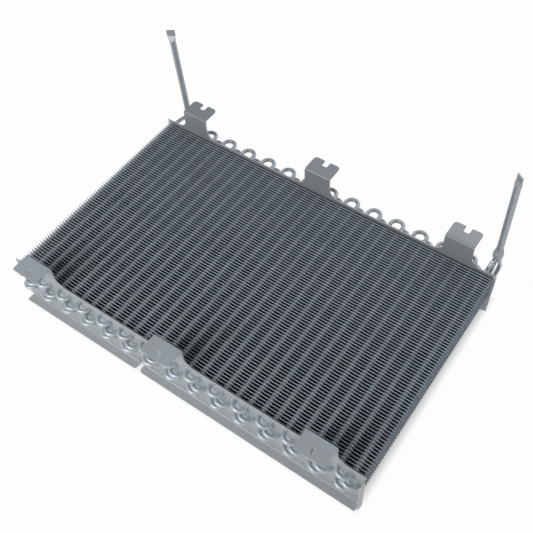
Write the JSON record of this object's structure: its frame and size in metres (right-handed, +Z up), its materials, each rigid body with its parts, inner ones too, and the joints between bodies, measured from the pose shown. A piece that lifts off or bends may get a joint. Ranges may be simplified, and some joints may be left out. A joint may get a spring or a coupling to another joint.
{
  "type": "evaporator coil",
  "caption": "Finned evaporator coil with staggered hairpin tubes between two tube sheets, mounting lugs, slotted brackets and two pinched standing pipes.",
  "frame": {"origin": "middle of the overall footprint, level with the underside of the bottom flanges", "axes": "+X along the tube sheets, +Y from the hairpin bends towards the return bends and the standing pipes, +Z up"},
  "size_m": [0.7741, 0.551, 0.3351],
  "materials": {
    "sheet": "satin grey coated sheet metal",
    "back_sheet": "satin grey coated sheet metal",
    "fin": "dull aluminium",
    "tube": "satin grey coated tube",
    "pipe": "satin grey coated pipe",
    "fitting": "satin grey coated fitting"
  },
  "bodies": {
    "root": {"front_sheet": "sheet", "back_sheet": "back_sheet", "fins_01": "fin", "fins_02": "fin", "fins_03": "fin", "fins_04": "fin", "fins_05": "fin", "fins_06": "fin", "fins_07": "fin", "fins_08": "fin", "fins_09": "fin", "fins_10": "fin", "fins_11": "fin", "fins_12": "fin", "fins_13": "fin", "fins_14": "fin", "fins_15": "fin", "hairpins_top_left": "tube", "hairpins_top_mid": "tube", "hairpins_top_right": "tube", "hairpins_mid_left": "tube", "hairpins_mid_mid": "tube", "hairpins_mid_right": "tube", "hairpins_low_left": "tube", "hairpins_low_mid": "tube", "hairpins_low_right": "tube", "returns_top_left": "tube", "returns_top_right": "tube", "returns_mid_left": "tube", "returns_mid_right": "tube", "returns_low_left": "tube", "returns_low_right": "tube", "left_header": "pipe", "header_cap": "fitting", "left_leg_top": "tube", "left_leg_mid": "tube", "left_leg_low": "tube", "right_riser": "pipe", "right_collar": "fitting", "branch_plate": "fitting", "right_leg_top": "tube", "right_leg_mid": "tube", "right_leg_low": "tube"}
  },
  "joints": []
}
